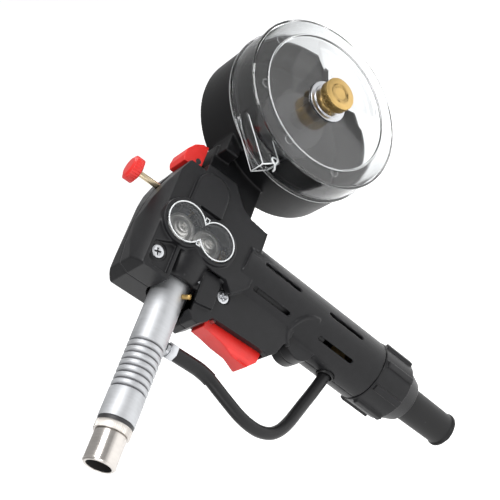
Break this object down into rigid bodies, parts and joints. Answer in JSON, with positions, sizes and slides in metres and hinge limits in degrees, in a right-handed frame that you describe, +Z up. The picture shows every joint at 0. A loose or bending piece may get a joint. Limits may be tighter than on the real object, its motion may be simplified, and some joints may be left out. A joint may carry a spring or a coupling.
{
  "type": "spool gun wire feeder",
  "caption": "Hand-held spool gun that feeds welding wire: grip motor, drive rolls, ribbed barrel with nozzle, gas hose and clear-covered spool canister.",
  "frame": {"origin": "on the barrel's axis, at the middle of the plain stretch of tube between the grip grooves and the insulating ring", "axes": "+X forward along the barrel towards the nozzle, +Y to the gun's left, where the spool cover is, +Z up, away from the grip"},
  "size_m": [0.3314, 0.0916, 0.2892],
  "materials": {
    "housing_plastic": "fine moulded grain",
    "boot_rubber": "matte",
    "hose_rubber": "satin",
    "red_plastic": "satin moulded",
    "clear_plastic": "clear moulded",
    "barrel_alloy": "satin anodised",
    "nickel": "turned",
    "zinc": "zinc plated",
    "brass": "turned",
    "copper": "turned",
    "steel": "ground",
    "frame_alloy": "cast",
    "motor_paint": "dark paint",
    "black_plastic": "moulded"
  },
  "bodies": {
    "gun": {"housing_left": "housing_plastic", "housing_right": "housing_plastic", "window_lens": "clear_plastic", "feed_frame": "frame_alloy", "gearbox": "motor_paint", "motor": "motor_paint", "arm_pin": "steel", "trunnion_pin": "steel", "inlet_guide": "black_plastic", "outlet_guide": "brass", "barrel_tube": "barrel_alloy", "barrel_insulator": "black_plastic", "knurled_collar": "nickel", "wire_liner": "copper", "gas_diffuser": "brass", "barb_fitting": "zinc", "gas_hose": "hose_rubber", "hose_sleeve": "hose_rubber", "hose_grommet": "boot_rubber", "trigger_pin": "steel", "trigger_spring": "steel", "micro_switch": "black_plastic", "spool_canister": "housing_plastic", "spool_spindle": "steel", "brake_spring": "steel", "housing_screws": "zinc", "grub_screw": "brass", "cable_boot": "boot_rubber", "power_block": "brass"},
    "drive": {"drive_gear": "steel", "drive_roller": "steel", "drive_screw": "zinc"},
    "pinion": {"motor_pinion": "brass"},
    "arm": {"pressure_arm": "frame_alloy", "roller_screw": "zinc"},
    "pressure": {"pressure_roller": "steel"},
    "tension_swing_block": {"trunnion": "brass", "spring_cup": "steel", "tension_spring": "steel"},
    "tension_slider": {"tension_collar": "steel"},
    "tension_screw": {"tension_rod": "steel", "tension_knob": "red_plastic"},
    "trigger": {"trigger": "red_plastic"},
    "plunger": {"switch_plunger": "black_plastic"},
    "latch": {"canister_latch": "red_plastic", "latch_pin": "steel"},
    "hub": {"spool_hub": "black_plastic"},
    "cover": {"spool_cover": "clear_plastic", "cover_washer": "zinc"},
    "nut": {"thumb_nut": "brass"},
    "collar": {"collar_nut": "housing_plastic"},
    "nozzle": {"nozzle": "nickel"},
    "tip": {"contact_tip": "copper"}
  },
  "joints": [
    {"name": "drive_spin", "type": "hinge", "parent": "gun", "child": "drive", "pos_m": [-0.1205, 0, -0.0103], "axis": [0, 1, 0], "continuous": true},
    {"name": "pinion_spin", "type": "hinge", "parent": "gun", "child": "pinion", "pos_m": [-0.11945, 0, -0.03027], "axis": [-0.0523, 0, 0.9986], "continuous": true},
    {"name": "arm_lift", "type": "hinge", "parent": "gun", "child": "arm", "pos_m": [-0.1055, 0, 0.0155], "axis": [0, 1, 0], "range_deg": [0, 2.4], "stiffness_Nm_per_rad": 2, "springref_deg": -2.86},
    {"name": "pressure_spin", "type": "hinge", "parent": "arm", "child": "pressure", "pos_m": [-0.1205, 0, 0.0103], "axis": [0, 1, 0], "continuous": true},
    {"name": "tension_swing", "type": "hinge", "parent": "gun", "child": "tension_swing_block", "pos_m": [-0.1395, 0, 0.006], "axis": [0, -1, 0], "range_deg": [0, 17]},
    {"name": "tension_advance", "type": "slide", "parent": "tension_swing_block", "child": "tension_slider", "axis": [0, 0, 1], "range_m": [-0.003, 0], "deforming": ["tension_spring"]},
    {"name": "knob_turn", "type": "hinge", "parent": "tension_swing_block", "child": "tension_screw", "pos_m": [-0.1395, 0, 0.04], "axis": [0, 0, 1], "range_deg": [-1080, 0]},
    {"name": "trigger_pull", "type": "hinge", "parent": "gun", "child": "trigger", "pos_m": [-0.0755, 0, -0.0305], "axis": [0, 1, 0], "range_deg": [0, 5], "stiffness_Nm_per_rad": 0.5, "springref_deg": -11.46, "deforming": ["trigger_spring"]},
    {"name": "plunger_press", "type": "slide", "parent": "gun", "child": "plunger", "axis": [-1, 0, 0], "range_m": [0, 0.0019]},
    {"name": "latch_press", "type": "hinge", "parent": "gun", "child": "latch", "pos_m": [-0.1665, 0, 0.0184], "axis": [0, -1, 0], "range_deg": [0, 6], "stiffness_Nm_per_rad": 0.3, "springref_deg": -8.59},
    {"name": "hub_spin", "type": "hinge", "parent": "gun", "child": "hub", "pos_m": [-0.235, 0.01, -0.0313], "axis": [0, 1, 0], "continuous": true},
    {"name": "cover_lift", "type": "slide", "parent": "gun", "child": "cover", "axis": [0, 1, 0], "range_m": [0, 0.06]},
    {"name": "nut_turn", "type": "hinge", "parent": "cover", "child": "nut", "pos_m": [-0.235, 0.0601, -0.0313], "axis": [0, 1, 0], "continuous": true},
    {"name": "collar_turn", "type": "hinge", "parent": "gun", "child": "collar", "pos_m": [-0.11249, 0, -0.16309], "axis": [-0.0523, 0, 0.9986], "continuous": true},
    {"name": "nozzle_slide", "type": "slide", "parent": "gun", "child": "nozzle", "axis": [1, 0, 0], "range_m": [0, 0.025]},
    {"name": "tip_turn", "type": "hinge", "parent": "gun", "child": "tip", "pos_m": [0.024, 0, 0], "axis": [1, 0, 0], "continuous": true}
  ],
  "couplings": [
    {"joint": "pinion_spin", "follows": "drive_spin", "ratio": -2},
    {"joint": "pressure_spin", "follows": "drive_spin", "ratio": -1},
    {"joint": "tension_advance", "follows": "knob_turn", "m_per_rad": 0.00015915},
    {"joint": "plunger_press", "follows": "trigger_pull", "m_per_rad": 0.0205}
  ]
}
